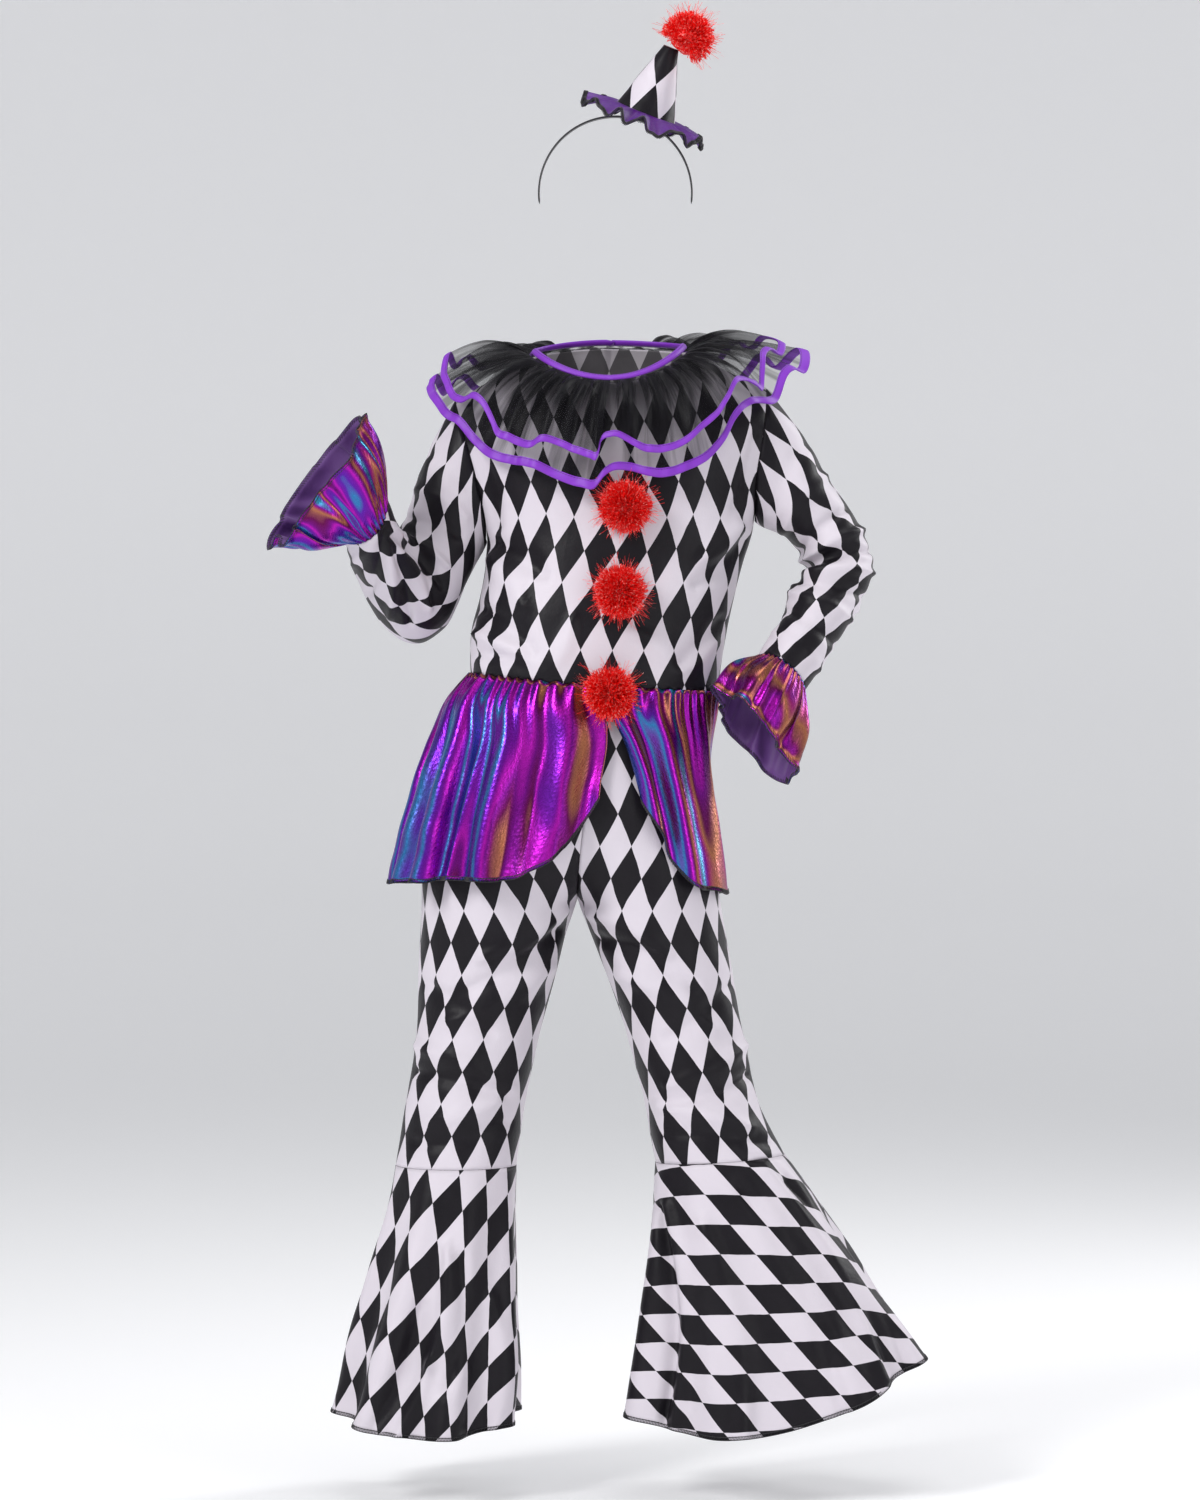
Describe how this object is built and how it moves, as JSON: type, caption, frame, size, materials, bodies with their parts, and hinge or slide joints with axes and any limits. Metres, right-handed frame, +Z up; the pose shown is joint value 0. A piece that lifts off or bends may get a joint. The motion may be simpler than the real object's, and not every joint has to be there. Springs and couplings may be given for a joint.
{
  "type": "child's harlequin costume with mini hat",
  "caption": "Child's harlequin costume in its worn form: top with neck ruffs, wrist flounces, peplum and pom-poms, flared trousers and a mini cone hat on a headband.",
  "frame": {"origin": "middle of the neck opening, where the wearer's neck carries the costume", "axes": "+X towards the wearer's left, the front faces -Y, +Z up"},
  "size_m": [0.6237, 0.2952, 1.3697],
  "materials": {
    "diamond_satin": "satin knit printed with black and white diamonds",
    "iridescent_cloth": "crinkled metallic purple with a cyan and gold sheen",
    "purple_tape": "folded binding tape",
    "black_organza": "sheer crisp organza",
    "red_tinsel": "bright tinsel strands",
    "waist_elastic": "soft elastic casing",
    "hat_brim_cloth": "gathered purple cloth with a black edge",
    "hat_base_felt": "stiff black felt",
    "headband_satin": "black satin over a springy band"
  },
  "bodies": {
    "root": {"bodice_front": "diamond_satin", "bodice_back": "diamond_satin", "sleeve_right": "diamond_satin", "sleeve_left": "diamond_satin", "leg_right_front": "diamond_satin", "leg_right_back": "diamond_satin", "leg_left_front": "diamond_satin", "leg_left_back": "diamond_satin", "flounce_right_front": "diamond_satin", "flounce_right_back": "diamond_satin", "flounce_left_front": "diamond_satin", "flounce_left_back": "diamond_satin", "hat_cone": "diamond_satin", "cuff_flounce_right": "iridescent_cloth", "cuff_flounce_left": "iridescent_cloth", "peplum": "iridescent_cloth", "neck_binding": "purple_tape", "ruff_upper_binding": "purple_tape", "ruff_lower_binding": "purple_tape", "ruff_upper": "black_organza", "ruff_lower": "black_organza", "pompom_upper": "red_tinsel", "pompom_middle": "red_tinsel", "pompom_lower": "red_tinsel", "hat_pompom": "red_tinsel", "waistband": "waist_elastic", "hat_brim": "hat_brim_cloth", "hat_base": "hat_base_felt", "headband": "headband_satin"}
  },
  "joints": []
}
